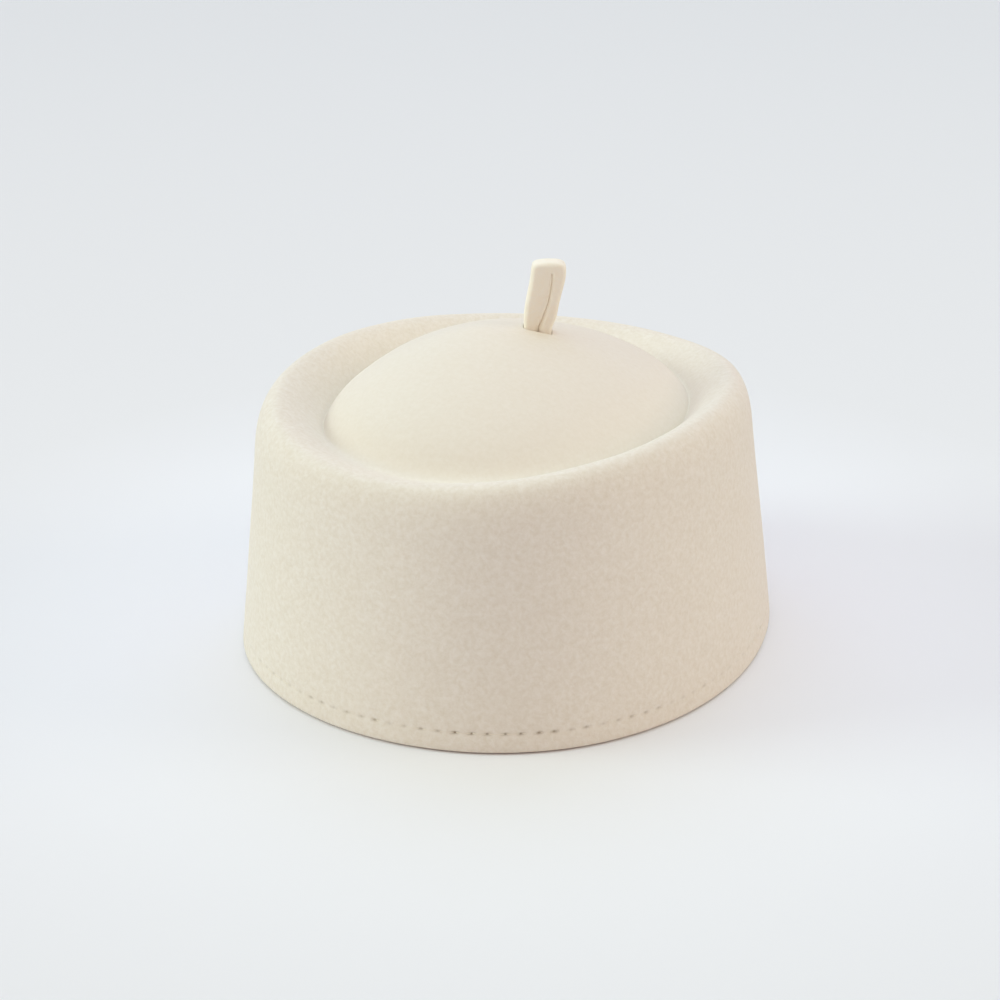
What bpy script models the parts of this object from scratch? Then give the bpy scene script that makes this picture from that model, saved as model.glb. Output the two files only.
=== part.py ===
# Blocked wool felt prayer cap in a pillbox form: one felt shell and a folded felt stem.
# Metres, +Z up. The origin is the middle of the hem oval, on the surface that the cap rests on.
# +Y points to the narrower end of the oval, which goes to the forehead.
import math
from collections import namedtuple

import bmesh
import bpy
from mathutils import Matrix, Vector

# Felt
FELT_THICKNESS = 0.0024
FIT_GAP = 0.0003

# Oval of the hem
HALF_LENGTH = 0.098
HALF_WIDTH = 0.086
OVAL_TAPER = 0.09  # share of the width lost at the narrow end and gained at the wide one

# Side wall and rim
RIM_HEIGHT = 0.084  # height of the rim's top, halfway between its high sides and low ends
RIM_SADDLE = 0.0038  # the rim's top is this much higher at the sides and lower at the ends
WALL_LEAN = 0.0082  # how far the wall leans in from the hem to the rim's shoulder
CUT_EDGE = 0.0012  # upright cut edge at the foot of the wall
SHOULDER_DROP = 0.0142  # from the rim's top down to its shoulder
SHOULDER_FULLNESS = 0.55  # near a true quarter ellipse; more makes the shoulder squarer
RIM_OUTER_WIDTH = 0.0078  # from the shoulder in to the rim's top
RIM_INNER_WIDTH = 0.014  # from the rim's top in to the crease
UPPER_SHIFT = Vector((-0.0012, -0.0007, 0.0))  # the rim sits this far off the hem

# Crease and tip
CREASE_HEIGHT = 0.0746
INNER_SLOPE_POWER = 1.7  # the rim's inner slope falls faster towards the crease
TIP_RISE = 0.0288  # from the crease up to the top of the tip
TIP_POWER = 1.52  # roundness of the top of the tip
TIP_FULLNESS = 0.66  # below 1 the tip's foot stands up more steeply
TIP_SHIFT = Vector((-0.0105, -0.0075, 0.0))  # the tip's top leans this far off its middle

# Stem: a felt strip folded into a loop, its legs through a slot in the tip
STEM_FOOT_REACH = 0.305  # share of the way from the top of the tip out to the crease
STEM_FOOT_ANGLE = math.radians(57)
STEM_PLANE_ANGLE = math.radians(35)  # direction in which the two legs stand side by side
STEM_DEPTH = 0.007
STEM_SQUARENESS = 2.4  # superellipse power of the strip's section
LEG_BELOW = 0.0048  # the legs reach this far below the slot's middle
SLOT_CORNER_RADIUS = 0.0012
SLOT_HALF_HEIGHT = 0.009

# Facets
SEGMENTS = 64
WALL_STEPS = 5
SHOULDER_STEPS = 6
SLOPE_STEPS = 5
TIP_STEPS = 11
STEM_SIDES = 14
STEM_STEPS = 4
SHARP_ANGLE = math.radians(38)

# Felt finish
CROWN_COLOUR = (0.83, 0.76, 0.62, 1.0)
STEM_COLOUR = (0.80, 0.68, 0.49, 1.0)
FELT_ROUGHNESS = 0.95

Station = namedtuple("Station", "inset scale crest_share lift")
StemSection = namedtuple("StemSection", "across up width")

# The strip's middle line, across and up from the slot's middle, and the strip's width there
STEM_SECTIONS = (
    StemSection(-0.0030, -LEG_BELOW, 0.0042),
    StemSection(-0.0030, 0.0004, 0.0042),
    StemSection(-0.0021, 0.0048, 0.0054),
    StemSection(-0.0008, 0.0102, 0.0060),
    StemSection(0.0000, 0.0155, 0.0060),
    StemSection(0.0009, 0.0188, 0.0050),
    StemSection(0.0034, 0.0200, 0.0042),
    StemSection(0.0059, 0.0186, 0.0046),
    StemSection(0.0062, 0.0152, 0.0052),
    StemSection(0.0050, 0.0102, 0.0046),
    StemSection(0.0033, 0.0048, 0.0043),
    StemSection(0.0021, 0.0004, 0.0038),
    StemSection(0.0021, -LEG_BELOW, 0.0038),
)


def clear_scene():
    """Remove every object that the scene starts with."""
    for scene_object in list(bpy.data.objects):
        bpy.data.objects.remove(scene_object, do_unlink=True)


def felt_material(name, colour):
    """Matt wool felt in one colour."""
    material = bpy.data.materials.new(name)
    material.use_nodes = True
    shader = material.node_tree.nodes["Principled BSDF"]
    shader.inputs["Base Color"].default_value = colour
    shader.inputs["Roughness"].default_value = FELT_ROUGHNESS
    shader.inputs["Metallic"].default_value = 0.0
    return material


def add_object(name, shape, material=None):
    """Turn a bmesh into a smooth-shaded object with one material."""
    mesh = bpy.data.meshes.new(name)
    shape.to_mesh(mesh)
    shape.free()
    mesh.shade_smooth()
    mesh.set_sharp_from_angle(angle=SHARP_ANGLE)
    if material is not None:
        mesh.materials.append(material)
    new_object = bpy.data.objects.new(name, mesh)
    bpy.context.collection.objects.link(new_object)
    return new_object


def skin_rings(shape, rings):
    """Fill the bands between closed rings of equal count with quads."""
    count = len(rings[0])
    for lower, upper in zip(rings, rings[1:]):
        for here in range(count):
            after = (here + 1) % count
            shape.faces.new((lower[here], lower[after], upper[after], upper[here]))


def crest_height(angle):
    """Height of the rim's top, a shallow saddle: high at the sides, low at the ends."""
    return RIM_HEIGHT + RIM_SADDLE * math.cos(2 * angle)


def crown_point(station, angle):
    """Point of the crown's outer face at one station of its profile, at one angle of the oval."""
    height = station.crest_share * crest_height(angle) + station.lift
    half_width = (HALF_WIDTH - station.inset) * station.scale
    half_length = (HALF_LENGTH - station.inset) * station.scale
    taper = 1 - OVAL_TAPER * math.sin(angle)
    flat = Vector((half_width * math.cos(angle) * taper, half_length * math.sin(angle), 0.0))
    upper_share = min(1.0, max(0.0, (height - CUT_EDGE) / (RIM_HEIGHT - CUT_EDGE)))
    shift = UPPER_SHIFT * upper_share + TIP_SHIFT * (1 - station.scale)
    return flat + shift + Vector((0.0, 0.0, height))


def shoulder_bend(wall_angle):
    """Runs and rises of the rounded shoulder, which leaves the leaning wall and ends level."""
    start = Vector((0.0, 0.0))
    end = Vector((RIM_OUTER_WIDTH, SHOULDER_DROP))
    wall_direction = Vector((math.sin(wall_angle), math.cos(wall_angle)))
    first_handle = start + wall_direction * SHOULDER_DROP * SHOULDER_FULLNESS
    last_handle = end - Vector((RIM_OUTER_WIDTH * SHOULDER_FULLNESS, 0.0))
    points = []
    for step in range(1, SHOULDER_STEPS + 1):
        share = step / SHOULDER_STEPS
        rest = 1 - share
        outer = start * rest**3 + end * share**3
        inner = first_handle * (3 * rest**2 * share) + last_handle * (3 * rest * share**2)
        points.append(outer + inner)
    return points


def tip_station(reach):
    """Station of the tip, with reach 1 at the crease and 0 at its top."""
    inset = WALL_LEAN + RIM_OUTER_WIDTH + RIM_INNER_WIDTH
    rise = TIP_RISE * (1 - reach**TIP_POWER) ** TIP_FULLNESS
    return Station(inset, reach, 0.0, CREASE_HEIGHT + rise)


def crown_profile():
    """Stations of the crown's outer face from the hem over the rim and the crease to the tip."""
    stations = [Station(0.0, 1.0, 0.0, 0.0), Station(0.0, 1.0, 0.0, CUT_EDGE)]
    for step in range(1, WALL_STEPS + 1):
        share = step / WALL_STEPS
        lift = CUT_EDGE * (1 - share) - SHOULDER_DROP * share
        stations.append(Station(WALL_LEAN * share, 1.0, share, lift))
    wall_angle = math.atan2(WALL_LEAN, RIM_HEIGHT - SHOULDER_DROP - CUT_EDGE)
    for run, rise in shoulder_bend(wall_angle):
        stations.append(Station(WALL_LEAN + run, 1.0, 1.0, rise - SHOULDER_DROP))
    rim_inset = WALL_LEAN + RIM_OUTER_WIDTH
    for step in range(1, SLOPE_STEPS):
        share = step / SLOPE_STEPS
        fall = share**INNER_SLOPE_POWER
        stations.append(Station(rim_inset + RIM_INNER_WIDTH * share, 1.0, 1 - fall, CREASE_HEIGHT * fall))
    for step in range(TIP_STEPS):
        stations.append(tip_station(math.cos(math.pi / 2 * step / TIP_STEPS)))
    return stations


def crown_surface():
    """Outer face of the crown as rings of quads, closed by a fan at the top of the tip."""
    shape = bmesh.new()
    rings = []
    for station in crown_profile():
        angles = (2 * math.pi * step / SEGMENTS for step in range(SEGMENTS))
        rings.append([shape.verts.new(crown_point(station, angle)) for angle in angles])
    skin_rings(shape, rings)
    top = shape.verts.new(crown_point(tip_station(0.0), 0.0))
    for here in range(SEGMENTS):
        shape.faces.new((rings[-1][here], rings[-1][(here + 1) % SEGMENTS], top))
    return shape


def stem_frame():
    """Place of the stem: its foot on the tip, the legs side by side along its own X."""
    foot = crown_point(tip_station(STEM_FOOT_REACH), STEM_FOOT_ANGLE)
    return Matrix.Translation(foot) @ Matrix.Rotation(STEM_PLANE_ANGLE, 4, "Z")


def smooth_sections():
    """Stem sections with more between them, on a smooth curve through the table's rows."""
    rows = [Vector(section) for section in STEM_SECTIONS]
    padded = [2 * rows[0] - rows[1]] + rows + [2 * rows[-1] - rows[-2]]
    smooth = []
    for before, start, end, after in zip(padded, padded[1:], padded[2:], padded[3:]):
        for step in range(STEM_STEPS):
            share = step / STEM_STEPS
            slope = (end - before) * share
            bend = (2 * before - 5 * start + 4 * end - after) * share**2
            twist = (3 * start - before - 3 * end + after) * share**3
            smooth.append(start + (slope + bend + twist) / 2)
    smooth.append(rows[-1])
    return [StemSection(*section) for section in smooth]


def superellipse(angle, power):
    """Point of a unit superellipse at an angle."""
    cosine = math.cos(angle)
    sine = math.sin(angle)
    return (
        math.copysign(abs(cosine) ** (2 / power), cosine),
        math.copysign(abs(sine) ** (2 / power), sine),
    )


def stem_surface():
    """Felt strip carried along the folded line, closed at both ends."""
    shape = bmesh.new()
    sections = smooth_sections()
    rings = []
    for index, section in enumerate(sections):
        before = sections[max(index - 1, 0)]
        after = sections[min(index + 1, len(sections) - 1)]
        along = Vector((after.across - before.across, 0.0, after.up - before.up)).normalized()
        aside = Vector((along.z, 0.0, -along.x))
        middle = Vector((section.across, 0.0, section.up))
        ring = []
        for side in range(STEM_SIDES):
            wide, deep = superellipse(2 * math.pi * side / STEM_SIDES, STEM_SQUARENESS)
            offset = aside * wide * section.width / 2 + Vector((0.0, deep * STEM_DEPTH / 2, 0.0))
            ring.append(shape.verts.new(middle + offset))
        rings.append(ring)
    skin_rings(shape, rings)
    shape.faces.new(list(reversed(rings[0])))
    shape.faces.new(rings[-1])
    bmesh.ops.recalc_face_normals(shape, faces=shape.faces)
    return shape


def stem_slot_cutter():
    """Upright block with rounded corners that cuts the stem's slot through the tip."""
    low = STEM_SECTIONS[0].across - STEM_SECTIONS[0].width / 2 - FIT_GAP
    high = STEM_SECTIONS[-1].across + STEM_SECTIONS[-1].width / 2 + FIT_GAP
    size = Vector((high - low, STEM_DEPTH + 2 * FIT_GAP, 2 * SLOT_HALF_HEIGHT))
    shape = bmesh.new()
    bmesh.ops.create_cube(shape, size=1.0)
    bmesh.ops.scale(shape, vec=size, verts=shape.verts)
    upright = [edge for edge in shape.edges if edge.verts[0].co.z * edge.verts[1].co.z < 0]
    bmesh.ops.bevel(
        shape, geom=upright, offset=SLOT_CORNER_RADIUS, segments=2, profile=0.5, affect="EDGES"
    )
    cutter = add_object("stem_slot_cutter", shape)
    cutter.matrix_world = stem_frame() @ Matrix.Translation(((low + high) / 2, 0.0, 0.0))
    cutter.hide_render = True
    cutter.display_type = "WIRE"
    return cutter


def build_crown(slot_cutter):
    """Felt shell: the outer face given its thickness inwards, then cut for the stem."""
    crown = add_object("crown", crown_surface(), felt_material("crown_felt", CROWN_COLOUR))
    thickness = crown.modifiers.new("felt_thickness", "SOLIDIFY")
    thickness.thickness = FELT_THICKNESS
    thickness.offset = -1.0
    thickness.use_even_offset = True
    slot = crown.modifiers.new("stem_slot", "BOOLEAN")
    slot.operation = "DIFFERENCE"
    slot.solver = "EXACT"
    slot.object = slot_cutter
    return crown


def build_stem():
    """Folded felt stem, standing in its slot."""
    stem = add_object("stem", stem_surface(), felt_material("stem_felt", STEM_COLOUR))
    stem.matrix_world = stem_frame()
    return stem


def main():
    """Build the cap."""
    clear_scene()
    build_crown(stem_slot_cutter())
    build_stem()


main()
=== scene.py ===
import logging
import math
from dataclasses import dataclass, field
from enum import Enum

import bpy
import numpy as np
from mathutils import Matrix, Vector


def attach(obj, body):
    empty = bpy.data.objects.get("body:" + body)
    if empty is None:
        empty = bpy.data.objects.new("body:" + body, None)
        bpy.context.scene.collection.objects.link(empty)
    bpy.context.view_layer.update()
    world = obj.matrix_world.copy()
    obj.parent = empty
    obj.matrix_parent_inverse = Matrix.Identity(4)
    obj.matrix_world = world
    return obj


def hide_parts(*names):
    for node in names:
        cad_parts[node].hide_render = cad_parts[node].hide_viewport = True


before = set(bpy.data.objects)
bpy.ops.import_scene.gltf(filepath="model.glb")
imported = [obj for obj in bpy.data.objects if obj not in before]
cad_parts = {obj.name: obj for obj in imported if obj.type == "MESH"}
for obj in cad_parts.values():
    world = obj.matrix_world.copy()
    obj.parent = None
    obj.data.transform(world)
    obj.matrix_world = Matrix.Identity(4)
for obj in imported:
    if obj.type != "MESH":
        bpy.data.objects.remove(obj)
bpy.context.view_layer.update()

log = logging.getLogger("felt_cap")

MM = 0.001


class Side(Enum):
    """Which end of a row of points a closing fan sits on."""

    FIRST = 0
    LAST = 1


# ---- small helpers -------------------------------------------------------------------------------


def linear(hex_colour: str, alpha: float = 1.0) -> tuple[float, float, float, float]:
    """Turn an sRGB hex colour into the linear values that shaders use.

    Args:
        hex_colour: Six hex digits, with or without a leading hash.
        alpha: Value of the fourth channel.

    Returns:
        Linear red, green, blue and alpha.
    """
    digits = hex_colour.lstrip("#")
    parts = [int(digits[at:at + 2], 16) / 255 for at in (0, 2, 4)]
    red, green, blue = (p / 12.92 if p <= 0.04045 else ((p + 0.055) / 1.055) ** 2.4 for p in parts)
    return (red, green, blue, alpha)


def add_node(tree: bpy.types.NodeTree, kind: str, links: dict | None = None, **settings: object) -> bpy.types.Node:
    """Add one node to a tree, with its settings, socket values and incoming links.

    Args:
        tree: The node tree.
        kind: Blender's identifier of the node.
        links: Input name or number to an output socket, which is linked, or to a plain value, which is set.
        **settings: Properties of the node itself.

    Returns:
        The new node.
    """
    node = tree.nodes.new(kind)
    for name, value in settings.items():
        setattr(node, name, value)
    for name, value in (links or {}).items():
        if isinstance(value, bpy.types.NodeSocket):
            tree.links.new(value, node.inputs[name])
        else:
            node.inputs[name].default_value = value
    return node


def grid_faces(rows: int, columns: int, closed: bool = False) -> np.ndarray:
    """Quads between the rows of a grid whose last column joins its first.

    Face (r, c) joins points (r, c), (r, c+1), (r+1, c+1) and (r+1, c), with c+1 taken round the ring.

    Args:
        rows: Number of rows of points.
        columns: Number of points in each closed row.
        closed: Whether the last row joins the first as well.

    Returns:
        An array of four point numbers a face.
    """
    row, column = np.meshgrid(np.arange(rows if closed else rows - 1), np.arange(columns), indexing="ij")
    beside = (column + 1) % columns
    above = (row + 1) % rows * columns
    quads = np.stack([row * columns + column, row * columns + beside, above + beside, above + column], axis=-1)
    return quads.reshape(-1, 4)


def fan_faces(ring_start: int, columns: int, pole: int, side: Side) -> np.ndarray:
    """Triangles that close a ring of points onto one pole.

    Args:
        ring_start: Number of the ring's first point.
        columns: Points in the ring.
        pole: Number of the pole's point.
        side: Whether the ring is the grid's first or last row, which decides the turning direction.

    Returns:
        An array of three point numbers a face.
    """
    here = np.arange(columns)
    beside = (here + 1) % columns
    ends = (beside, here) if side is Side.FIRST else (here, beside)
    return np.stack([ring_start + ends[0], ring_start + ends[1], np.full(columns, pole)], axis=-1)


def mesh_object(
    name: str,
    points: np.ndarray,
    quads: np.ndarray,
    triangles: np.ndarray | None = None,
    attributes: dict[str, np.ndarray] | None = None,
) -> bpy.types.Object:
    """Make a smooth-shaded mesh object at the origin from whole arrays.

    Args:
        name: Name of the object and its mesh.
        points: Array of places, one row a point, in metres.
        quads: Array of four point numbers a face.
        triangles: Array of three point numbers a face.
        attributes: Named values, one a point.

    Returns:
        The object, linked into the scene.
    """
    triangles = np.zeros((0, 3), int) if triangles is None else triangles
    corners = np.concatenate([quads.ravel(), triangles.ravel()]).astype(np.int32)
    sizes = np.concatenate([np.full(len(quads), 4), np.full(len(triangles), 3)]).astype(np.int32)
    starts = np.concatenate([[0], np.cumsum(sizes)[:-1]]).astype(np.int32)
    mesh = bpy.data.meshes.new(name)
    mesh.vertices.add(len(points))
    mesh.vertices.foreach_set("co", np.asarray(points, np.float32).ravel())
    mesh.loops.add(len(corners))
    mesh.loops.foreach_set("vertex_index", corners)
    mesh.polygons.add(len(sizes))
    mesh.polygons.foreach_set("loop_start", starts)
    mesh.update(calc_edges=True)
    mesh.validate()
    mesh.shade_smooth()
    for label, values in (attributes or {}).items():
        layer = mesh.attributes.new(label, "FLOAT", "POINT")
        layer.data.foreach_set("value", np.asarray(values, np.float32).ravel())
    piece = bpy.data.objects.new(name, mesh)
    bpy.context.scene.collection.objects.link(piece)
    return piece


def steps_up(count: int) -> np.ndarray:
    """Even shares from the first step to one, without the nought."""
    return np.linspace(0, 1, count + 1)[1:]


def unit(vectors: np.ndarray) -> np.ndarray:
    """Vectors of length one along the last axis of an array."""
    return vectors / np.maximum(np.linalg.norm(vectors, axis=-1, keepdims=True), 1e-12)


def grid_normals(points: np.ndarray) -> np.ndarray:
    """Normals of a ringed grid: the cross product of its steps round the ring and along the rows.

    Args:
        points: Rows by columns by three, each row a closed ring.

    Returns:
        Unit normals of the same shape, on the side that faces outwards for rings that turn
        anticlockwise seen from above while the rows climb.
    """
    around = np.roll(points, -1, axis=1) - np.roll(points, 1, axis=1)
    along = np.gradient(points, axis=0)
    return unit(np.cross(around, along))


# ---- finishes ------------------------------------------------------------------------------------


@dataclass(frozen=True)
class BlockedWoolFelt:
    """Wool felt, wetted, pulled over a hat block and pressed dry.

    To the eye it is quite matt, with no weave: a cloudy ground of crossing fibres a millimetre or
    two long, faint lighter and darker specks, and a soft pale bloom where the nap is seen edge on.
    The attribute brushed says how much of the grain a place keeps, because the tip is pressed
    smoother; a second attribute darkens the colour with painted shade in the prick holes and the crease.
    """

    name: str
    ground: str
    deep: str
    pale: str
    # painted shade: the dark colour put into the prick holes and along the crease
    painted_shade: str = "8C7A5E"
    grain_mm: float = 1.5
    # single fibres, about 0.03 mm thick, are too fine to show, so the specks are tufts of them
    speck_mm: float = 0.55
    cloud_mm: float = 14.0
    # distance over which the grain is stirred about, and how far it is moved
    stir_mm: float = 4.0
    stir_reach_mm: float = 2.2
    relief_mm: float = 0.16
    speck_share: float = 0.45
    sheen: float = 0.25

    def material(self) -> bpy.types.Material:
        """Build the felt's shader.

        Returns:
            The material, with every pattern read from Object coordinates in metres.
        """
        material = bpy.data.materials.new(self.name)
        material.use_nodes = True
        tree = material.node_tree
        shader = tree.nodes["Principled BSDF"]
        place = add_node(tree, "ShaderNodeTexCoord").outputs["Object"]
        brushed = add_node(tree, "ShaderNodeAttribute", attribute_name="brushed").outputs["Fac"]
        # fibres lie every way in felt, so the grain is noise whose own place is stirred by other noise
        stir = add_node(
            tree, "ShaderNodeTexNoise", {"Vector": place, "Scale": 1 / (self.stir_mm * MM), "Detail": 2.0},
        )
        stirred = add_node(
            tree, "ShaderNodeVectorMath",
            {0: stir.outputs["Color"], 1: (self.stir_reach_mm * MM,) * 3, 2: place},
            operation="MULTIPLY_ADD",
        ).outputs[0]
        grain = add_node(
            tree, "ShaderNodeTexNoise",
            {"Vector": stirred, "Scale": 1 / (self.grain_mm * MM), "Detail": 4.0, "Roughness": 0.62},
        ).outputs["Fac"]
        speck = add_node(
            tree, "ShaderNodeTexNoise",
            {"Vector": stirred, "Scale": 1 / (self.speck_mm * MM), "Detail": 3.0, "Roughness": 0.7,
             "Distortion": 0.8},
        ).outputs["Fac"]
        cloud = add_node(
            tree, "ShaderNodeTexNoise",
            {"Vector": place, "Scale": 1 / (self.cloud_mm * MM), "Detail": 3.0, "Roughness": 0.55},
        ).outputs["Fac"]
        darkness = add_node(
            tree, "ShaderNodeMapRange",
            {"Value": grain, "From Min": 0.3, "From Max": 0.7, "To Min": 0.5, "To Max": -0.5},
        ).outputs[0]
        kept = add_node(
            tree, "ShaderNodeMath", {0: darkness, 1: brushed, 2: 0.5}, operation="MULTIPLY_ADD",
        ).outputs[0]
        cloudy = add_node(
            tree, "ShaderNodeMapRange",
            {"Value": cloud, "From Min": 0.3, "From Max": 0.7, "To Min": 0.0, "To Max": 0.5},
        ).outputs[0]
        # painted shade: the mesh's share of it darkens the felt towards the painted shade colour
        painted_shade = add_node(tree, "ShaderNodeAttribute", attribute_name="painted_shade").outputs["Fac"]
        colour = linear(self.ground)
        for factor, other in ((cloudy, self.pale), (kept, self.deep), (painted_shade, self.painted_shade)):
            # sockets 6 and 7 of a Mix node set to colours are its A and B
            colour = add_node(
                tree, "ShaderNodeMix", {"Factor": factor, 6: colour, 7: linear(other)}, data_type="RGBA",
            ).outputs[2]
        tree.links.new(colour, shader.inputs["Base Color"])
        height = add_node(
            tree, "ShaderNodeMath", {0: speck, 1: self.speck_share, 2: grain}, operation="MULTIPLY_ADD",
        ).outputs[0]
        raised = add_node(tree, "ShaderNodeMath", {0: height, 1: brushed}, operation="MULTIPLY").outputs[0]
        bump = add_node(tree, "ShaderNodeBump", {"Height": raised, "Strength": 1.0, "Distance": self.relief_mm * MM})
        tree.links.new(bump.outputs["Normal"], shader.inputs["Normal"])
        shader.inputs["Roughness"].default_value = 0.95
        shader.inputs["IOR"].default_value = 1.45
        shader.inputs["Specular IOR Level"].default_value = 0.25
        shader.inputs["Sheen Weight"].default_value = self.sheen
        shader.inputs["Sheen Roughness"].default_value = 0.55
        shader.inputs["Sheen Tint"].default_value = linear("FFFBF2")
        return material


@dataclass(frozen=True)
class SewingThread:
    """Spun polyester sewing thread, pulled tight into the felt.

    To the eye it is a shade deeper than the felt, with fine slanting plies that catch a little light.
    """

    name: str
    colour: str
    shade: str
    # a real ply is about 0.15 mm, drawn twice as coarse so that it shows at all
    ply_mm: float = 0.3
    relief_mm: float = 0.04

    def material(self) -> bpy.types.Material:
        """Build the thread's shader.

        Returns:
            The material, with its plies as slanting bands on Object coordinates.
        """
        material = bpy.data.materials.new(self.name)
        material.use_nodes = True
        tree = material.node_tree
        shader = tree.nodes["Principled BSDF"]
        place = add_node(tree, "ShaderNodeTexCoord").outputs["Object"]
        plies = add_node(
            # a wave texture of scale one has bands about 0.31 wide
            tree, "ShaderNodeTexWave", {"Vector": place, "Scale": 0.31 / (self.ply_mm * MM), "Distortion": 1.0},
            bands_direction="DIAGONAL",
        ).outputs["Fac"]
        blend = add_node(
            tree, "ShaderNodeMix", {"Factor": plies, 6: linear(self.shade), 7: linear(self.colour)}, data_type="RGBA",
        )
        tree.links.new(blend.outputs[2], shader.inputs["Base Color"])
        bump = add_node(tree, "ShaderNodeBump", {"Height": plies, "Strength": 0.6, "Distance": self.relief_mm * MM})
        tree.links.new(bump.outputs["Normal"], shader.inputs["Normal"])
        shader.inputs["Roughness"].default_value = 0.6
        shader.inputs["IOR"].default_value = 1.57
        return material


@dataclass(frozen=True)
class StudioPaper:
    """Seamless background paper: matt and a touch cool, with painted light: palest near the set, which thins the
    cap's shadow, and painted darker away from it.
    """

    name: str
    # distance from the middle of the floor in metres, and the paper's colour there, which paints light that falls off
    # with distance
    painted_light_by_distance: tuple[tuple[float, str], ...]

    def material(self) -> bpy.types.Material:
        """Build the paper's matt shader.

        Returns:
            The material, whose painted light follows the distance from the middle of the floor.
        """
        material = bpy.data.materials.new(self.name)
        material.use_nodes = True
        tree = material.node_tree
        shader = tree.nodes["Principled BSDF"]
        place = add_node(tree, "ShaderNodeTexCoord").outputs["Object"]
        distance = add_node(tree, "ShaderNodeVectorMath", {0: place}, operation="LENGTH").outputs["Value"]
        # painted light: the paper's colour steps paler towards the set and darker away from it
        shade = linear(self.painted_light_by_distance[0][1])
        for (start, _), (end, hex_colour) in zip(self.painted_light_by_distance, self.painted_light_by_distance[1:]):
            away = add_node(
                tree, "ShaderNodeMapRange", {"Value": distance, "From Min": start, "From Max": end},
            ).outputs[0]
            shade = add_node(
                tree, "ShaderNodeMix", {"Factor": away, 6: shade, 7: linear(hex_colour)}, data_type="RGBA",
            ).outputs[2]
        tree.links.new(shade, shader.inputs["Base Color"])
        shader.inputs["Roughness"].default_value = 0.9
        shader.inputs["Specular IOR Level"].default_value = 0.2
        return material


# ---- the cap's form ------------------------------------------------------------------------------


@dataclass(frozen=True)
class Stations:
    """Rows of the crown's profile, each value an array of rows by one or rows by columns."""

    inset: np.ndarray
    scale: np.ndarray
    crest_share: np.ndarray
    lift: np.ndarray


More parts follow.
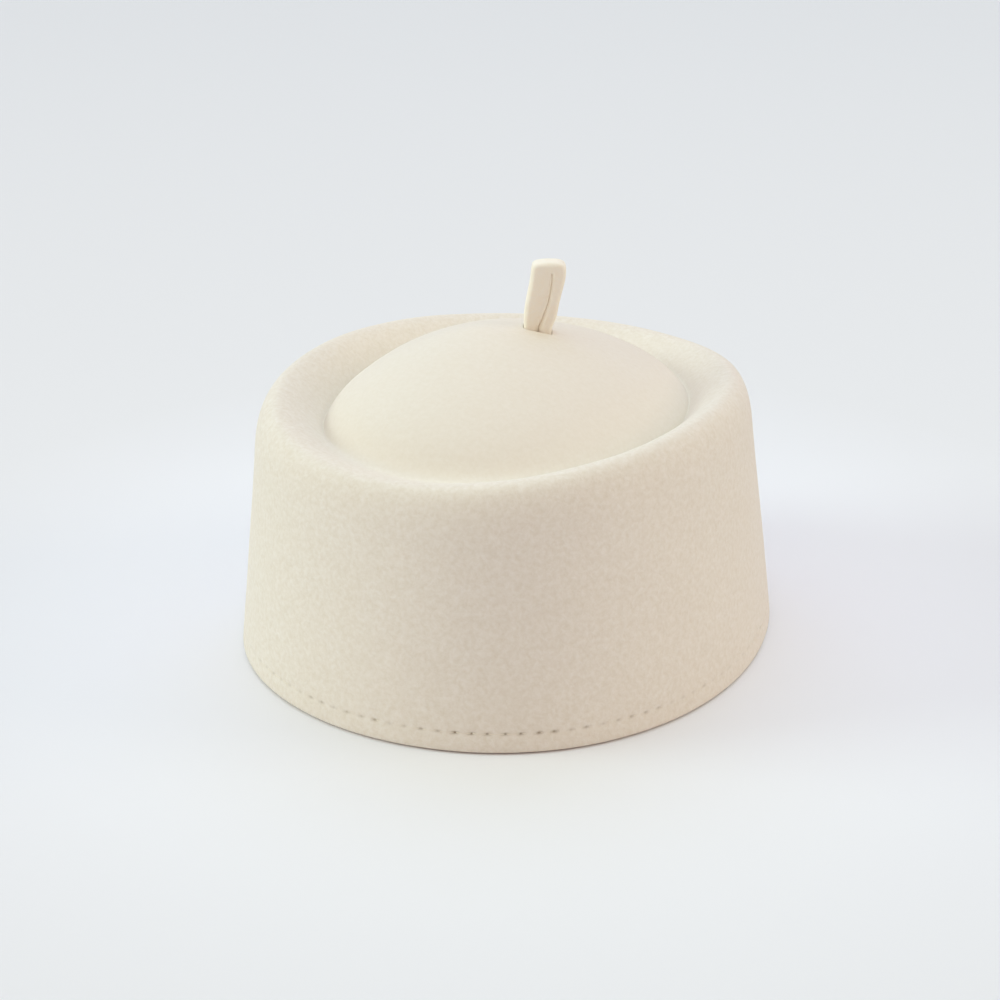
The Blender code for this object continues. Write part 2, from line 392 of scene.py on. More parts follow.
@dataclass(frozen=True)
class CapForm:
    """Sizes of the blocked shape, in metres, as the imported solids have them."""

    felt: float = 0.0024
    half_length: float = 0.098
    half_width: float = 0.086
    oval_taper: float = 0.09
    rim_height: float = 0.084
    rim_saddle: float = 0.0038
    wall_lean: float = 0.0082
    cut_edge: float = 0.0012
    shoulder_drop: float = 0.0142
    shoulder_fullness: float = 0.55
    rim_outer_width: float = 0.0078
    rim_inner_width: float = 0.014
    upper_shift: tuple[float, float] = (-0.0012, -0.0007)
    crease_height: float = 0.0746
    inner_slope_power: float = 1.7
    tip_rise: float = 0.0288
    tip_power: float = 1.52
    tip_fullness: float = 0.66
    tip_shift: tuple[float, float] = (-0.0105, -0.0075)
    lift_rounds: int = 3
    lift_halvings: int = 34

    def crest_height(self, angle: np.ndarray) -> np.ndarray:
        """Height of the rim's top: its middle height plus a shallow saddle, the cosine of twice the angle."""
        return self.rim_height + self.rim_saddle * np.cos(2 * angle)

    def points(self, rows: Stations, angle: np.ndarray) -> np.ndarray:
        """Places on the crown's outer face.

        The height is the row's share of the crest's height plus its lift. The plan is an oval, half
        width times cosine and half length times sine, drawn in by the inset, its width tapered along
        the sine, and moved off the middle by two shifts, one growing with height, one with the tip.

        Args:
            rows: Profile rows.
            angle: Angles round the oval, an array of columns.

        Returns:
            Rows by columns by three.
        """
        height = rows.crest_share * self.crest_height(angle) + rows.lift
        taper = 1 - self.oval_taper * np.sin(angle)
        across = (self.half_width - rows.inset) * rows.scale * np.cos(angle) * taper
        along = (self.half_length - rows.inset) * rows.scale * np.sin(angle)
        upper = np.clip((height - self.cut_edge) / (self.rim_height - self.cut_edge), 0, 1)
        across = across + self.upper_shift[0] * upper + self.tip_shift[0] * (1 - rows.scale)
        along = along + self.upper_shift[1] * upper + self.tip_shift[1] * (1 - rows.scale)
        return np.stack(np.broadcast_arrays(across, along, height), axis=-1)

    def tip_rows(self, reach: np.ndarray) -> Stations:
        """Rows of the tip, whose rise is one minus a power of the reach, raised to its fullness.

        Args:
            reach: One at the crease and nought at the tip's top, an array of rows.

        Returns:
            The profile rows.
        """
        reach = reach.reshape(-1, 1)
        inset = np.full_like(reach, self.wall_lean + self.rim_outer_width + self.rim_inner_width)
        rise = self.tip_rise * np.maximum(1 - reach**self.tip_power, 0) ** self.tip_fullness
        return Stations(inset, reach, np.zeros_like(reach), self.crease_height + rise)

    def tip_over(self, plan: np.ndarray) -> np.ndarray:
        """Lift places in plan onto the tip's outer face.

        The oval is undone: at a trial reach, the place along gives a sine and the place across then
        gives a cosine. Their squares add up to one at the right reach, which is found by halving.

        Args:
            plan: Places across and along, in the last axis.

        Returns:
            The same places with their height added.
        """
        inset = self.wall_lean + self.rim_outer_width + self.rim_inner_width
        height = np.full(plan.shape[:-1], self.crease_height)
        for _ in range(self.lift_rounds):
            upper = np.clip((height - self.cut_edge) / (self.rim_height - self.cut_edge), 0, 1)
            low, high = np.full(height.shape, 1e-4), np.full(height.shape, 1.2)
            for _ in range(self.lift_halvings):
                reach = (low + high) / 2
                along = plan[..., 1] - self.upper_shift[1] * upper - self.tip_shift[1] * (1 - reach)
                sine = np.clip(along / (self.half_length - inset) / reach, -3, 3)
                across = plan[..., 0] - self.upper_shift[0] * upper - self.tip_shift[0] * (1 - reach)
                cosine = across / (self.half_width - inset) / reach / (1 - self.oval_taper * sine)
                outside = sine**2 + cosine**2 > 1
                low, high = np.where(outside, reach, low), np.where(outside, high, reach)
            rise = np.maximum(1 - reach**self.tip_power, 0) ** self.tip_fullness
            height = self.crease_height + self.tip_rise * rise
        return np.concatenate([plan, height[..., None]], axis=-1)

    def slope_rows(self, share: np.ndarray) -> Stations:
        """Rows of the rim's inner slope, which falls with a power of the share from crest to crease.

        Args:
            share: Share of the way in from the crest to the crease, an array of rows.

        Returns:
            The profile rows.
        """
        share = share.reshape(-1, 1)
        fall = share**self.inner_slope_power
        inset = self.wall_lean + self.rim_outer_width + self.rim_inner_width * share
        return Stations(inset, np.ones_like(share), 1 - fall, self.crease_height * fall)

    def shoulder_rows(self, share: np.ndarray) -> Stations:
        """Rows of the rounded shoulder: a cubic Bezier curve that leaves along the wall and ends level.

        Args:
            share: The curve's parameter, nought at the wall and one at the crest, an array of rows.

        Returns:
            The profile rows.
        """
        share = share.reshape(-1, 1)
        lean = math.atan2(self.wall_lean, self.rim_height - self.shoulder_drop - self.cut_edge)
        first = np.array([math.sin(lean), math.cos(lean)]) * self.shoulder_drop * self.shoulder_fullness
        end = np.array([self.rim_outer_width, self.shoulder_drop])
        last = end - np.array([self.rim_outer_width * self.shoulder_fullness, 0.0])
        rest = 1 - share
        bend = first * 3 * rest**2 * share + last * 3 * rest * share**2 + end * share**3
        inset = self.wall_lean + bend[:, :1]
        return Stations(inset, np.ones_like(share), np.ones_like(share), bend[:, 1:] - self.shoulder_drop)

    def wall_rows(self, share: np.ndarray) -> Stations:
        """Rows of the straight, leaning wall, whose share may differ from column to column."""
        lift = self.cut_edge * (1 - share) - self.shoulder_drop * share
        return Stations(self.wall_lean * share, np.ones_like(share), share, lift)

    def wall_share(self, height: np.ndarray, angle: np.ndarray) -> np.ndarray:
        """Share of the wall at which it has a given height, at each angle."""
        top = self.crest_height(angle) - self.shoulder_drop
        return (height - self.cut_edge) / (top - self.cut_edge)


@dataclass
class StemSlot:
    """The slot through the tip that the stem's legs go down."""

    form: CapForm = field(default_factory=CapForm)
    foot_reach: float = 0.305
    foot_angle: float = math.radians(57)
    plane_angle: float = math.radians(35)
    low: float = -0.0052
    high: float = 0.0043
    half_depth: float = 0.00363
    squareness: float = 5.2
    lip: float = 0.0004

    def foot(self) -> np.ndarray:
        """Place between the stem's legs, on the tip's outer face."""
        return self.form.points(self.form.tip_rows(np.array([self.foot_reach])), np.array([self.foot_angle]))[0, 0]

    def turned(self, local: np.ndarray) -> np.ndarray:
        """Turn places about the upright to the legs' own plane, and move them to the foot.

        Args:
            local: Places across, forward and up from the foot, in the last axis.

        Returns:
            The same places in the cap's frame.
        """
        cosine, sine = math.cos(self.plane_angle), math.sin(self.plane_angle)
        across, front = local[..., 0], local[..., 1]
        turned = np.stack([across * cosine - front * sine, across * sine + front * cosine, local[..., 2]], axis=-1)
        return turned + self.foot()

    def outline(self, around: np.ndarray, clear: float) -> np.ndarray:
        """Slot's outline in plan, at the directions in which other places lie from its middle.

        A superellipse: the share of each half size in the direction, raised to the squareness and
        summed, gives the distance when the root is taken.

        Args:
            around: Places in plan, one a column.
            clear: How far outside the slot's own wall the outline runs.

        Returns:
            Places in plan, one a column.
        """
        middle = self.turned(np.array([(self.low + self.high) / 2, 0.0, 0.0]))[:2]
        away = around - middle
        turn = np.arctan2(away[:, 1], away[:, 0]) - self.plane_angle
        wide = np.abs(np.cos(turn)) / ((self.high - self.low) / 2 + clear)
        deep = np.abs(np.sin(turn)) / (self.half_depth + clear)
        distance = (wide**self.squareness + deep**self.squareness) ** (-1 / self.squareness)
        turn = turn + self.plane_angle
        return middle + distance[:, None] * np.stack([np.cos(turn), np.sin(turn)], axis=1)


@dataclass
class Crown:
    """The blocked felt shell, with its softened edge, pressed crease, slot and the row of pricks."""

    form: CapForm = field(default_factory=CapForm)
    slot: StemSlot = field(default_factory=StemSlot)
    stitches: int = 112
    stitch_height: float = 0.0069
    band_top: float = 0.012
    edge_height: float = 0.0013
    prick_length: float = 0.00072
    prick_width: float = 0.00044
    prick_depth: float = 0.0005
    # the pricks are full at this angle and fade over this one to a share that stays all round
    prick_front: float = math.radians(298)
    prick_fade: float = math.radians(32)
    prick_rest: float = 0.25
    prick_range: tuple[float, float] = (0.3, 1.1)
    prick_drift: float = 0.13
    # columns from one prick to the next, as shares of the step, and rows about the stitch line
    prick_columns: tuple[float, ...] = (0.0, 0.1, 0.36, 0.64, 0.9)
    prick_rows_mm: tuple[float, ...] = (-0.9, -0.55, -0.28, 0.0, 0.28, 0.55, 0.9)
    row_margin: float = 1.5 * MM
    # hollow that the tight thread pulls round each prick and along the whole line
    pull_length: float = 1.9 * MM
    pull_height: float = 1.5 * MM
    seam_height: float = 1.4 * MM
    pull_depth: float = 0.1 * MM
    crease_sharp: float = 0.0012
    crease_soft: float = 0.004
    crease_soft_angle: float = math.radians(287)
    # the blurred stretch ends this far from its middle, and eases out over the second angle
    crease_soft_end: float = math.radians(62)
    crease_soft_ease: float = math.radians(36)
    crease_groove: float = 0.00022
    crease_groove_angle: float = math.radians(210)
    crease_groove_width: float = 1.1 * MM
    # painted shade along the crease: its strength, width, offset onto the tip, and how much fades at the front
    crease_painted_shade: float = 0.15
    crease_painted_shade_width: float = 2.2 * MM
    crease_painted_shade_offset: float = 0.5 * MM
    crease_painted_shade_loss: float = 0.7
    wobble: float = 0.00035
    # round the slot the felt is even, and its inner face lies straight below the outer one
    slot_calm: float = 9 * MM
    tip_smoothness: float = 0.6
    smooth_rows: int = 20
    wall_steps: int = 22
    shoulder_steps: int = 12
    slope_steps: int = 23
    tip_steps: int = 40
    inner_thinning: int = 3
    spacing_seed: int = 5
    strength_seed: int = 11
    # cut edge from the inner face to the outer: share of the felt's thickness and height in millimetres
    edge_mm: tuple[tuple[float, float], ...] = (
        (0.0, 0.70), (0.03, 0.32), (0.10, 0.06), (0.20, 0.0), (0.33, 0.04),
        (0.50, 0.21), (0.68, 0.45), (0.84, 0.71), (0.95, 0.98),
    )

    def stitch_angles(self) -> np.ndarray:
        """Angles of the pricks along the hem.

        Returns:
            The angle of each prick, from the running length of a finely cut oval, cut into even
            steps, each of which a seeded draw then moves on by up to an eighth of a step.
        """
        fine = np.linspace(0, 2 * math.pi, 20001)
        rows = self.form.wall_rows(self.form.wall_share(np.full((1, 1), self.stitch_height), fine))
        place = self.form.points(rows, fine)[0]
        length = np.concatenate([[0], np.cumsum(np.linalg.norm(np.diff(place, axis=0), axis=1))])
        drift = np.random.default_rng(self.spacing_seed).uniform(0.0, self.prick_drift, self.stitches)
        return np.interp((np.arange(self.stitches) + drift) / self.stitches * length[-1], length, fine)

    def columns(self) -> tuple[np.ndarray, np.ndarray, np.ndarray]:
        """Angles of the grid's columns, closer together at each prick.

        Returns:
            The angles, each column's distance along the hem from its nearest prick in metres, and
            that prick's strength, from a seeded draw that is fullest at the front, where the
            photograph shows the pricks open.
        """
        angles = self.stitch_angles()
        step = np.diff(np.concatenate([angles, [angles[0] + 2 * math.pi]]))
        spots = np.array(self.prick_columns)
        spread = angles[:, None] + step[:, None] * spots[None, :]
        offset = np.minimum(spots, 1 - spots) * self.hem_length() / self.stitches
        strength = np.random.default_rng(self.strength_seed).uniform(*self.prick_range, self.stitches).clip(0, 1)
        from_front = (angles - self.prick_front + math.pi) % (2 * math.pi) - math.pi
        near_front = np.exp(-((from_front / self.prick_fade) ** 2))
        strength = strength * (self.prick_rest + (1 - self.prick_rest) * near_front)
        nearest = np.where(spots < 0.5, strength[:, None], np.roll(strength, -1)[:, None])
        return spread.ravel(), np.tile(offset, self.stitches), nearest.ravel()

    def hem_length(self) -> float:
        """Measure round the hem.

        Returns:
            The length of the hem's oval, summed over a finely cut copy of it.
        """
        fine = np.linspace(0, 2 * math.pi, 4001)
        rows = self.form.wall_rows(np.zeros((1, 1)))
        return float(np.linalg.norm(np.diff(self.form.points(rows, fine)[0], axis=0), axis=1).sum())

    def outer_face(self, angle: np.ndarray) -> tuple[np.ndarray, int]:
        """Outer face from the hem up over the rim and the crease, and across the tip to the slot.

        On the tip each ring is a mean of the crease's oval and the slot's outline in plan, its share
        a power of the row's number, and is lifted onto the tip.

        Args:
            angle: Angles of the columns.

        Returns:
            Rows by columns by three, and the number of the crease's row.
        """
        form = self.form
        low = np.concatenate([
            np.linspace(self.edge_height, self.stitch_height - self.row_margin, 4),
            self.stitch_height + np.array(self.prick_rows_mm) * MM,
            np.linspace(self.stitch_height + self.row_margin, self.band_top, 3),
        ])
        band = form.wall_share(low[:, None], angle[None, :])
        wall = np.concatenate([band, band[-1:] + (1 - band[-1:]) * steps_up(self.wall_steps)[:, None]])
        slope = 1 - (1 - steps_up(self.slope_steps)) ** 1.5
        blocks = [form.wall_rows(wall), form.shoulder_rows(steps_up(self.shoulder_steps)), form.slope_rows(slope)]
        below = np.concatenate([form.points(rows, angle) for rows in blocks])
        crease = below[-1, :, :2]
        share = (steps_up(self.tip_steps) ** 1.6)[:, None, None]
        plan = crease[None] * (1 - share) + self.slot.outline(crease, self.slot.lip)[None] * share
        return np.concatenate([below, form.tip_over(plan)]), len(below) - 1

    def soften(self, face: np.ndarray, crease: int, angle: np.ndarray) -> tuple[np.ndarray, np.ndarray]:
        """Round the crease, widely at the front, where the photograph shows it blurred, tightly elsewhere.

        Each point moves towards the Gaussian mean of its own column, taken by running length, the
        more the nearer it is to the crease, again as a Gaussian. At the left a Gaussian of the
        distance from the crease is then pressed down into it. Painted shade along the crease is a wider
        Gaussian, fainter at the front.

        Args:
            face: The outer face's points.
            crease: Number of the crease's row.
            angle: Angles of the columns.

        Returns:
            The rounded points, and the share of painted shade along the crease at each.
        """
        step = np.linalg.norm(np.diff(face, axis=0), axis=2).mean(axis=1)
        run = np.concatenate([[0], np.cumsum(step)])
        turn = np.abs((angle - self.crease_soft_angle + math.pi) % (2 * math.pi) - math.pi)
        gentle = np.clip((self.crease_soft_end - turn) / self.crease_soft_ease, 0, 1)
        gentle = gentle**2 * (3 - 2 * gentle)
        for radius, share in ((self.crease_sharp, np.ones_like(angle)), (self.crease_soft, gentle)):
            mean = np.exp(-(((run[:, None] - run[None, :]) / radius) ** 2) / 2) * np.gradient(run)[None, :]
            mean = np.tensordot(mean / mean.sum(axis=1, keepdims=True), face, axes=(1, 0))
            near = np.exp(-(((run - run[crease]) / (radius * 2.4)) ** 2))[:, None] * share[None, :]
            face = face + (mean - face) * near[..., None]
        side = (0.5 + 0.5 * np.cos(angle - self.crease_groove_angle)) ** 2 * (1 - gentle)
        past = run - run[crease]
        groove = np.exp(-((past / self.crease_groove_width) ** 2))[:, None] * side[None, :]
        face[..., 2] -= self.crease_groove * groove
        # painted shade along the crease, a band reaching a little onto the tip
        painted_shade = np.exp(-(((past - self.crease_painted_shade_offset) / self.crease_painted_shade_width) ** 2))[:, None]
        return face, self.crease_painted_shade * painted_shade * (1 - self.crease_painted_shade_loss * gentle)[None, :]

    def relief(
        self, face: np.ndarray, offset: np.ndarray, strength: np.ndarray
    ) -> tuple[np.ndarray, np.ndarray]:
        """Displace the outer face by the felt's slight unevenness and by the pricks.

        The unevenness is a sum of slow sine waves of place. A prick is a Gaussian pit in distance
        along and above the stitch line, in the middle of a wider, shallower one.

        Args:
            face: The outer face's points.
            offset: Each column's distance from its nearest prick.
            strength: That prick's strength.

        Returns:
            The displaced points and each point's share of a prick's depth.
        """
        normals = grid_normals(face)
        x, y, z = (face[..., axis] / MM for axis in range(3))
        waves = (
            np.sin(x / 17.0 + 0.9) * np.cos(y / 21.0 - 0.4)
            + 0.7 * np.sin(y / 12.5 + z / 19.0 + 2.1)
            + 0.6 * np.cos(x / 11.0 - z / 15.0 + 0.3)
            + 0.4 * np.sin(x / 7.1 + y / 8.3 + z / 6.7)
        ) / 2.7
        from_slot = np.linalg.norm(face - self.slot.foot(), axis=-1) / self.slot_calm
        settle = np.clip(z / 6.0, 0, 1) * (1 - np.exp(-(from_slot**4)))
        up = face[..., 2] - self.stitch_height
        pit = np.exp(-((offset[None, :] / self.prick_length) ** 2) - (up / self.prick_width) ** 2) * strength
        pull = np.exp(-((offset[None, :] / self.pull_length) ** 2) - (up / self.pull_height) ** 2) * strength
        seam = np.exp(-((up / self.seam_height) ** 2))
        depth = self.wobble * waves * settle - self.prick_depth * pit - self.pull_depth * (pull + seam)
        return face + normals * depth[..., None], pit

    def build(self) -> bpy.types.Object:
        """Build the shell as one skin that closes on itself: edge, outer face, slot and inner face.

        Returns:
            The crown's object.
        """
        angle, offset, strength = self.columns()
        outer, crease = self.outer_face(angle)
        outer, painted_shade = self.soften(outer, crease, angle)
        outer, pit = self.relief(outer, offset, strength)
        inner = self.inner_face(outer)
        blocks = [self.hem_edge(outer[0], inner[-1]), outer, self.slot_wall(outer[-1]), inner]
        rows = np.concatenate(blocks)
        start, end = len(blocks[0]), len(blocks[0]) + len(outer)
        painted_shade_share, brushed = np.zeros(rows.shape[:2]), np.ones(rows.shape[:2])
        # painted shade: the prick holes and the band along the crease darken the felt's colour
        painted_shade_share[start:end] = pit + painted_shade
        inward = np.clip((np.arange(len(outer)) - crease + self.smooth_rows) / self.smooth_rows, 0, 1)
        brushed[start:end] = (1 - self.tip_smoothness * inward)[:, None]
        return mesh_object(
            "felt_crown", rows.reshape(-1, 3), grid_faces(len(rows), len(angle), closed=True),
            attributes={"painted_shade": painted_shade_share.ravel(), "brushed": brushed.ravel()},
        )

    def inner_face(self, outer: np.ndarray) -> np.ndarray:
        """Inner face, the felt's thickness behind every third row of the outer one, and below it at the slot.

        Args:
            outer: The outer face's points.

        Returns:
            Rows by columns by three, from the slot down to the hem.
        """
        from_slot = np.linalg.norm(outer - self.slot.foot(), axis=-1, keepdims=True) / self.slot_calm
        upright = np.exp(-(from_slot**4))
        normals = grid_normals(outer)
        away = unit(normals * (1 - upright) + np.array([0.0, 0.0, 1.0]) * upright)
        return (outer - away * self.form.felt)[::-self.inner_thinning]

    def slot_wall(self, ring: np.ndarray) -> np.ndarray:
        """Slot's wall, with both lips rounded by a quarter of a circle.

        Args:
            ring: The outer face's last row, one lip's width outside the slot.

        Returns:
            Rows by columns by three, from the outer lip down to the inner one.
        """
        lip, felt = self.slot.lip, self.form.felt
        turn = np.radians([25.0, 50.0, 72.0, 90.0])
        clear = np.concatenate([lip * (1 - np.sin(turn)), lip * (1 - np.sin(turn[::-1]))])
        drop = np.concatenate([lip * (1 - np.cos(turn)), felt - lip * (1 - np.cos(turn[::-1]))])
        plan = np.stack([self.slot.outline(ring[:, :2], gap) for gap in clear])
        height = ring[None, :, 2:] - drop[:, None, None]
        return np.concatenate([plan, height], axis=-1)

    def hem_edge(self, outer: np.ndarray, inner: np.ndarray) -> np.ndarray:
        """Cut edge of the felt, which stands on the floor near its inner face and rises to its outer one.

        Args:
            outer: The outer face's lowest row.
            inner: The inner face's lowest row.

        Returns:
            Rows by columns by three, by straight shares from the inner row to the outer.
        """
        table = np.array(self.edge_mm)
        edge = inner[None] * (1 - table[:, :1, None]) + outer[None] * table[:, :1, None]
        edge[..., 2] = table[:, 1:] * MM
        return edge

    def dress(self, piece: bpy.types.Object, finish: BlockedWoolFelt) -> None:
        """Give the crown its felt."""
        piece.data.materials.append(finish.material())


@dataclass
class HemStitches:
    """The thread along the hem, one short length from each prick to the next."""

    crown: Crown
    thread: float = 0.0004
    sunk: float = 0.00024
    dive: float = 0.0009
    # share of the way between two pricks, and how much closer together the rings lie at the ends
    reach: float = 0.98
    crowding: float = 0.35
    half_step: float = 0.5 * MM
    rings: int = 9
    sides: int = 6

    def build(self) -> bpy.types.Object:
        """Carry a circle along every stitch, and close both its ends.

        A stitch follows the wall at the pricks' height. It lies just under the nominal surface and
        dives with the eighth power of the distance from its middle, as a share of its half length.

        Returns:
            The stitches, as one object.
        """
        crown, form = self.crown, self.crown.form
        starts = crown.stitch_angles()
        ends = np.append(starts[1:], starts[0] + 2 * math.pi)
        share = np.linspace(-1, 1, self.rings)
        share = share * (1 + self.crowding * (1 - share**2))
        angle = starts[:, None] + (ends - starts)[:, None] * (self.reach * share[None, :] + 1) / 2
        flat = angle.ravel()
        height = crown.stitch_height + np.array([[-self.half_step], [0.0], [self.half_step]])
        wall = form.points(form.wall_rows(form.wall_share(height, flat[None, :])), flat)
        up = unit(wall[2] - wall[0])
        ahead = form.points(form.wall_rows(form.wall_share(height[1:2], flat[None, :] + 1e-4)), flat + 1e-4)[0]
        tangent = unit(ahead - wall[1])
        outward = unit(np.cross(tangent, up))
        sink = self.sunk + self.dive * np.abs(np.tile(share, len(starts))) ** 8
        centre = wall[1] - outward * sink[:, None]
        turn = np.arange(self.sides) / self.sides * 2 * math.pi
        ring = outward[:, None] * np.cos(turn)[None, :, None] - up[:, None] * np.sin(turn)[None, :, None]
        points = (centre[:, None] + ring * self.thread / 2).reshape(len(starts), -1, 3)
        tips = np.stack([centre.reshape(len(starts), -1, 3)[:, at] for at in (0, -1)], axis=1)
        points = np.concatenate([points, tips], axis=1)
        count = self.sides
        body = grid_faces(self.rings, count)
        fans = np.concatenate([
            fan_faces(0, count, self.rings * count, Side.FIRST),
            fan_faces((self.rings - 1) * count, count, self.rings * count + 1, Side.LAST),
        ])
        step = np.arange(len(starts))[:, None, None] * points.shape[1]
        quads, triangles = (body[None] + step).reshape(-1, 4), (fans[None] + step).reshape(-1, 3)
        return mesh_object("hem_stitches", points.reshape(-1, 3), quads, triangles)

    def dress(self, piece: bpy.types.Object, finish: SewingThread) -> None:
        """Give the stitches their thread."""
        piece.data.materials.append(finish.material())


@dataclass
class Stem:
    """The felt strip, folded tight, that stands on the tip with its legs down the slot."""

    slot: StemSlot = field(default_factory=StemSlot)
    depth: float = 0.007
    # outer edge across and up, then the edge at the fold's inside across and up, in millimetres from the slot
    edges_mm: tuple[tuple[float, float, float, float], ...] = (
        (-5.10, -4.8, -0.36, -4.8), (-5.10, 0.4, -0.32, 0.6), (-5.00, 4.6, 1.32, 5.2), (-4.50, 9.0, 2.74, 9.4),
        (-3.80, 12.6, 3.46, 12.8), (-3.15, 16.0, 3.95, 15.8), (-2.80, 18.6, 4.08, 17.8), (-2.55, 20.9, 4.095, 18.9),
        (-1.85, 22.6, 4.10, 19.4), (0.50, 23.3, 4.105, 19.6), (3.40, 23.5, 4.115, 19.65), (6.30, 23.3, 4.125, 19.6),
        (8.10, 22.5, 4.13, 19.4), (8.75, 20.8, 4.13, 18.9), (8.60, 18.4, 4.105, 17.8), (8.15, 16.0, 3.97, 15.8),
        (7.30, 12.6, 3.48, 12.8), (6.50, 9.0, 2.76, 9.4), (5.70, 4.8, 1.34, 5.2), (4.20, 0.4, -0.30, 0.6),
        (4.20, -4.8, -0.34, -4.8),
    )
    outer_corner: float = 0.0016
    # corners at the fold, tight near the top and wide where the legs part at the foot, and how far they turn
    fold_corner: tuple[float, float] = (0.0013, 0.0019)
    fold_height: float = 0.0195
    fold_easing: float = 0.6
    fold_turn: float = math.radians(70)
    sides: int = 40
    steps: int = 8

    def edges(self) -> np.ndarray:
        """Refine the table of edges on a Catmull-Rom curve.

        Returns:
            The table's values in metres, with more rows between them.
        """
        rows = np.array(self.edges_mm) * MM
        padded = np.concatenate([2 * rows[:1] - rows[1:2], rows, 2 * rows[-1:] - rows[-2:-1]])
        before, start, end, after = padded[:-3, None], padded[1:-2, None], padded[2:-1, None], padded[3:, None]
        t = (np.arange(self.steps) / self.steps)[None, :, None]
        curve = start + (
            (end - before) * t
            + (2 * before - 5 * start + 4 * end - after) * t**2
            + (3 * start - before - 3 * end + after) * t**3
        ) / 2
        return np.concatenate([curve.reshape(-1, rows.shape[1]), rows[-1:]])

    def build(self) -> bpy.types.Object:
        """Span a rounded rectangle between the two edges at each step of the fold, and close both ends.

        Each corner is an arc from the flat face to the side: across goes with the sine and in depth
        with the cosine of its turn, a quarter circle outside and less at the fold, so that the two
        legs meet in a shallow soft valley.

        Returns:
            The stem's object.
        """
        edges = self.edges()
        middle, half = (edges[:, :2] + edges[:, 2:]) / 2, (edges[:, :2] - edges[:, 2:]) / 2
        quarter = self.sides // 4
        share = np.linspace(0, 1, quarter)
        turned = np.concatenate([1 - share, share, 1 - share, share])
        wide_side = np.repeat([1.0, -1.0, -1.0, 1.0], quarter)
        deep_side = np.repeat([1.0, 1.0, -1.0, -1.0], quarter)
        full = np.where(wide_side > 0, math.pi / 2, self.fold_turn)
        height = np.clip(middle[:, 1:] / self.fold_height, 0, 1)
        fold = self.fold_corner[1] + (self.fold_corner[0] - self.fold_corner[1]) * height**self.fold_easing
        corner = np.where(wide_side > 0, self.outer_corner, fold)
        wide_share = corner / np.maximum(np.linalg.norm(half, axis=1, keepdims=True), corner)
        wide = wide_side * (1 - wide_share * (1 - np.sin(turned * full) / np.sin(full)))
        deep = deep_side * (self.depth / 2 - corner * (1 - np.cos(turned * full)))
        across, up = (middle[:, axis:axis + 1] + half[:, axis:axis + 1] * wide for axis in (0, 1))
        rows = self.slot.turned(np.stack(np.broadcast_arrays(across, -deep, up), axis=-1))
        count = self.sides
        ends = np.stack([rows[0].mean(axis=0), rows[-1].mean(axis=0)])
        points = np.concatenate([rows.reshape(-1, 3), ends])
        fans = np.concatenate([
            fan_faces(0, count, len(points) - 2, Side.FIRST),
            fan_faces((len(rows) - 1) * count, count, len(points) - 1, Side.LAST),
        ])
        return mesh_object(
            "felt_stem", points, grid_faces(len(rows), count), fans, {"brushed": np.full(len(points), 0.7)}
        )

    def dress(self, piece: bpy.types.Object, finish: BlockedWoolFelt) -> None:
        """Give the stem its felt."""
        piece.data.materials.append(finish.material())


@dataclass(frozen=True)
class Lamp:
    """A wide light, very far away, with its linear colour.

    The source is the direction that it shines from: to the picture's right, to the camera, and up.
    """

    name: str
    source: tuple[float, float, float]
    spread_degrees: float
    strength: float
    colour: tuple[float, float, float]


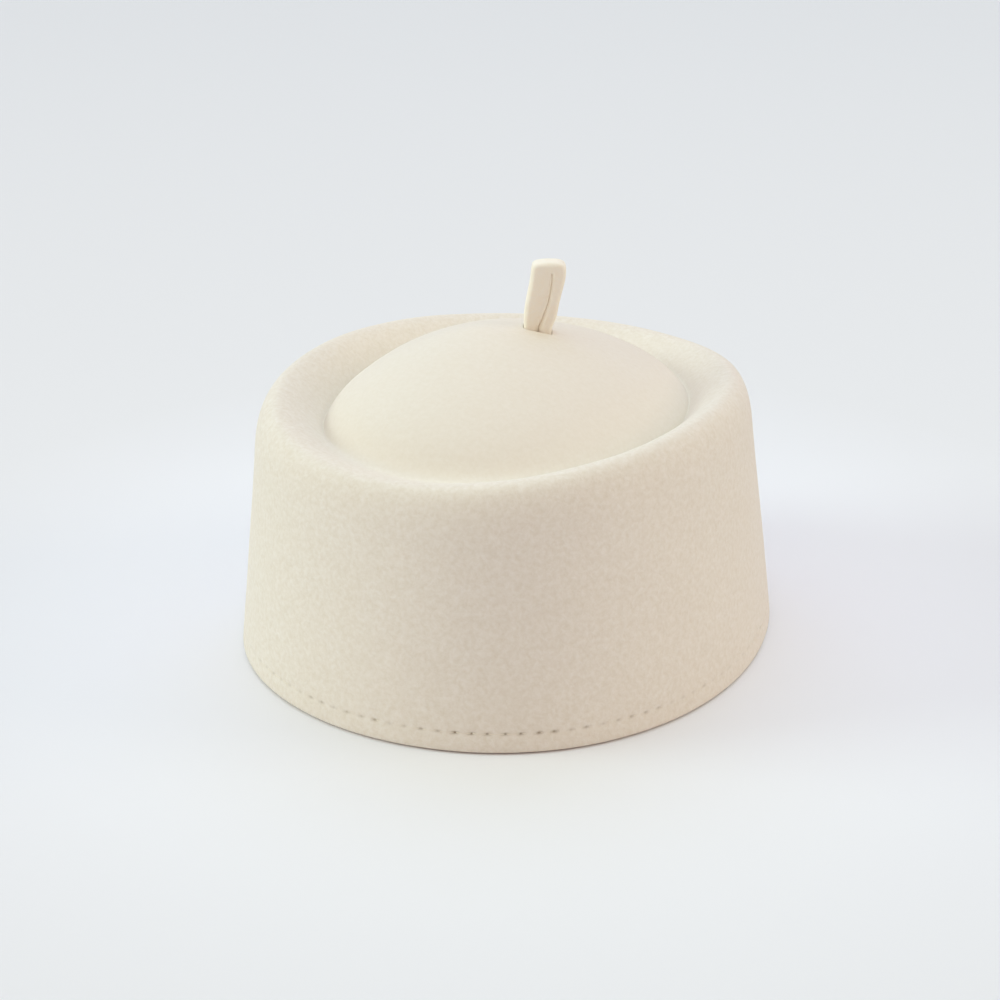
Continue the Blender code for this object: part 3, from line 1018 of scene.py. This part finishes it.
@dataclass
class Studio:
    """Pale floor, soft light and the camera at the photograph's angle."""

    azimuth: float = math.radians(34.7)
    elevation: float = math.radians(23.3)
    distance: float = 0.70
    target: tuple[float, float, float] = (0.0, 0.0, 0.045)
    focal_mm: float = 74.844
    shift: tuple[float, float] = (-0.0190, -0.0066)
    floor_half: float = 40.0
    paper: StudioPaper = StudioPaper(
        "background_paper_matt", ((0.09, "F2F4FA"), (0.25, "EAECEF"), (1.2, "E2E5E9")),
    )
    lamps: tuple[Lamp, ...] = (
        Lamp("overhead_silk", (0.0, 0.0, 1.0), 100, 2.03, (0.778, 1.0, 0.993)),
        Lamp("left_softbox", (-1.0, 0.0, 0.3), 30, 1.17, (0.856, 1.0, 0.898)),
        Lamp("right_softbox", (1.0, 0.0, 0.3), 30, 0.624, (1.0, 0.882, 0.696)),
        Lamp("back_softbox", (0.0, -1.0, 0.8), 70, 0.596, (0.355, 0.396, 1.0)),
        Lamp("camera_side_fill", (0.0, 1.0, 0.9), 70, 0.131, (1.0, 0.1, 0.1)),
    )
    room_colour: str = "FFBC90"
    room_strength: float = 0.25
    wall_colour: str = "EAECEE"

    def floor(self) -> bpy.types.Object:
        """Lay the pale floor.

        Returns:
            The floor's object.
        """
        half = self.floor_half
        points = np.array([(-half, -half, 0), (half, -half, 0), (half, half, 0), (-half, half, 0)], float)
        paper = mesh_object("studio_floor", points, np.array([[0, 1, 2, 3]]))
        paper.data.materials.append(self.paper.material())
        return paper

    def surroundings(self) -> None:
        """Surround the set with white: a little light from every side, and a pale wall behind the floor."""
        world = bpy.data.worlds.new("soft_white_room")
        world.use_nodes = True
        tree = world.node_tree
        tree.nodes.clear()
        room, wall = (
            add_node(tree, "ShaderNodeBackground", {"Color": linear(colour), "Strength": strength})
            for colour, strength in ((self.room_colour, self.room_strength), (self.wall_colour, 1.0))
        )
        seen = add_node(tree, "ShaderNodeLightPath").outputs["Is Camera Ray"]
        both = add_node(
            tree, "ShaderNodeMixShader",
            {0: seen, 1: room.outputs["Background"], 2: wall.outputs["Background"]},
        )
        add_node(tree, "ShaderNodeOutputWorld", {"Surface": both.outputs["Shader"]})
        bpy.context.scene.world = world

    def light(self) -> None:
        """Hang the wide lights, each turned by where it shines from."""
        right = Vector((math.cos(self.azimuth), math.sin(self.azimuth), 0))
        toward = Vector((math.sin(self.azimuth), -math.cos(self.azimuth), 0))
        for lamp in self.lamps:
            light = bpy.data.lights.new(lamp.name, "SUN")
            light.energy = lamp.strength
            light.angle = math.radians(lamp.spread_degrees)
            light.color = lamp.colour
            sideways, forward, height = lamp.source
            source = right * sideways + toward * forward + Vector((0, 0, height))
            fixture = bpy.data.objects.new(lamp.name, light)
            fixture.rotation_euler = source.to_track_quat("Z", "Y").to_euler()
            bpy.context.scene.collection.objects.link(fixture)

    def camera(self) -> bpy.types.Object:
        """Set the camera where the photograph's was.

        Returns:
            The camera's object.
        """
        view = bpy.data.cameras.new("photo_camera")
        view.sensor_width = 36.0
        view.lens = self.focal_mm
        view.shift_x, view.shift_y = self.shift
        view.clip_start = 0.01
        view.clip_end = 50.0
        back = Vector((
            math.sin(self.azimuth) * math.cos(self.elevation),
            -math.cos(self.azimuth) * math.cos(self.elevation),
            math.sin(self.elevation),
        ))
        camera = bpy.data.objects.new("photo_camera", view)
        camera.location = Vector(self.target) + back * self.distance
        camera.rotation_euler = back.to_track_quat("Z", "Y").to_euler()
        bpy.context.scene.collection.objects.link(camera)
        bpy.context.scene.camera = camera
        return camera


def main() -> None:
    """Build the cap and the studio, and say what each piece holds."""
    logging.basicConfig(level=logging.INFO, format="%(message)s")
    bpy.context.scene.view_settings.view_transform = "Standard"
    studio = Studio()
    studio.camera()
    studio.surroundings()
    studio.light()
    studio.floor()
    crown_felt = BlockedWoolFelt("wool_felt_blocked_ivory", ground="F4EFE5", deep="EAE3D5", pale="F5F2EA")
    # painted light: the strip's felt is the crown's ivory made paler, standing in for the brighter light the thin
    # strip catches
    stem_felt = BlockedWoolFelt(
        "wool_felt_strip_ivory_painted_light", ground="FFFCF0", deep="FFF8E8", pale="FFFDF5", sheen=0.3,
    )
    crown = Crown()
    shell = crown.build()
    crown.dress(shell, crown_felt)
    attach(shell, "root")
    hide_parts("crown")
    stitches = HemStitches(crown)
    seam = stitches.build()
    stitches.dress(seam, SewingThread("polyester_thread_ivory", colour="F3EDE0", shade="E9E1CF"))
    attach(seam, "root")
    stem = Stem()
    strip = stem.build()
    stem.dress(strip, stem_felt)
    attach(strip, "root")
    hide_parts("stem")
    for piece in (shell, seam, strip):
        log.info("%s: %d points, %d faces", piece.name, len(piece.data.vertices), len(piece.data.polygons))


if __name__ == "__main__":
    main()
